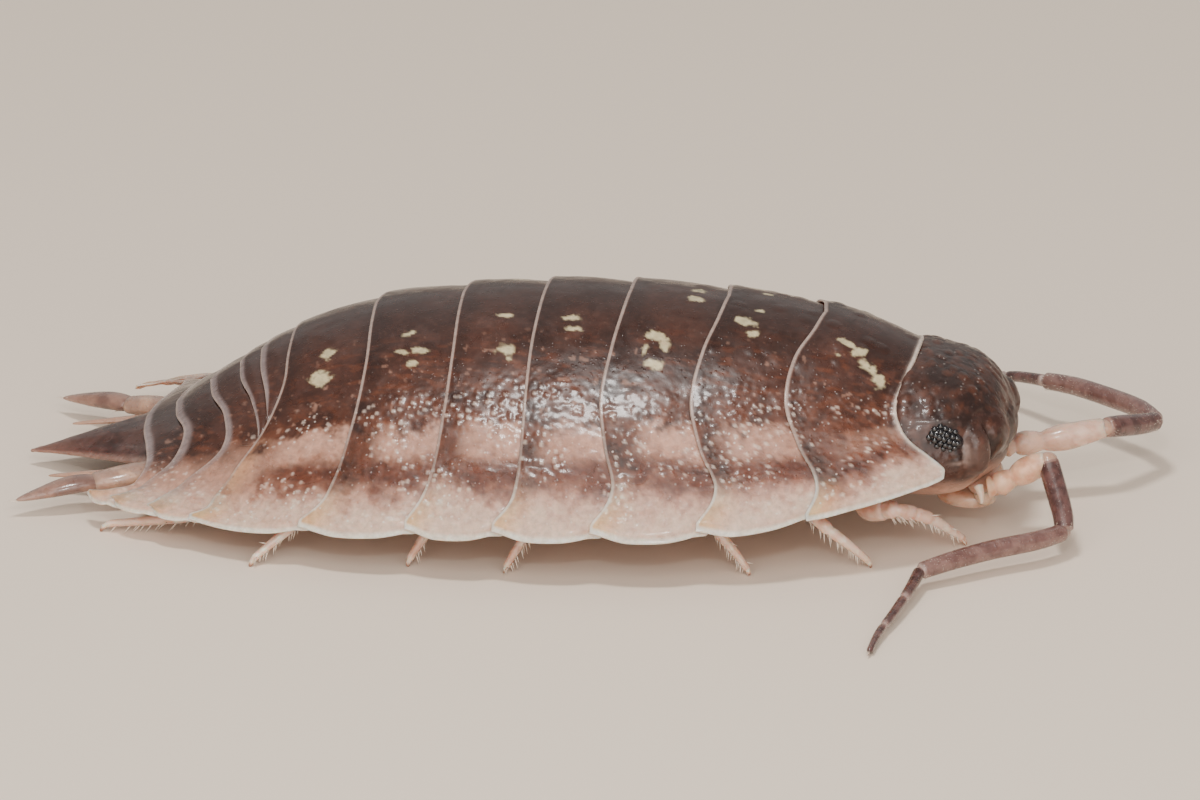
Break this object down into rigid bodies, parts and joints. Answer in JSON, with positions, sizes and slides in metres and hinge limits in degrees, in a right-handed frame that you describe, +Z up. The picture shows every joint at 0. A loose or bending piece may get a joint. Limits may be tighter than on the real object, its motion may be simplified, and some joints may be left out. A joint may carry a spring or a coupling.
{
  "type": "woodlouse",
  "caption": "A common shiny woodlouse standing on the floor with its feelers spread, as a life-size museum model: glossy brown overlapping back plates with pale side plates",
  "frame": {"origin": "the middle of the outline of the whole model, on the floor", "axes": "+X forward to the head, +Y to the animal's left, +Z up"},
  "size_m": [0.0174, 0.0112, 0.0036],
  "materials": {
    "trunk_plate": "glossy dark brown shell, pale and slightly translucent toward the side rims, cream muscle spots",
    "tail_plate": "glossy brown shell with pale side tips",
    "head": "glossy dark brown shell with fine grains",
    "eye": "high gloss black beads",
    "antenna": "satin, finely grained purple brown",
    "antenna_base": "glossy pale peach, translucent",
    "leg": "glossy pale peach, translucent, with pale bristles",
    "mouthparts": "pale and translucent",
    "uropod": "satin brown, paler at the rims"
  },
  "bodies": {
    "root": {"pereonite_1": "trunk_plate", "pereonite_2": "trunk_plate", "pereonite_3": "trunk_plate", "pereonite_4": "trunk_plate", "pereonite_5": "trunk_plate", "pereonite_6": "trunk_plate", "pereonite_7": "trunk_plate", "pleonite_1": "tail_plate", "pleonite_2": "tail_plate", "pleonite_3": "tail_plate", "pleonite_4": "tail_plate", "pleonite_5": "tail_plate", "eye_left": "eye", "eye_right": "eye", "head": "head", "mouthparts": "mouthparts", "leg_right_1": "leg", "leg_right_2": "leg", "leg_right_3": "leg", "leg_right_4": "leg", "leg_right_5": "leg", "leg_right_6": "leg", "leg_right_7": "leg", "antenna_right_base": "antenna_base", "antenna_right_article4": "antenna", "antenna_right_article5": "antenna", "antenna_right_flagellum": "antenna", "uropod_right": "uropod", "leg_left_1": "leg", "leg_left_2": "leg", "leg_left_3": "leg", "leg_left_4": "leg", "leg_left_5": "leg", "leg_left_6": "leg", "leg_left_7": "leg", "antenna_left_base": "antenna_base", "antenna_left_article4": "antenna", "antenna_left_article5": "antenna", "antenna_left_flagellum": "antenna", "uropod_left": "uropod", "pleotelson": "tail_plate"}
  },
  "joints": []
}
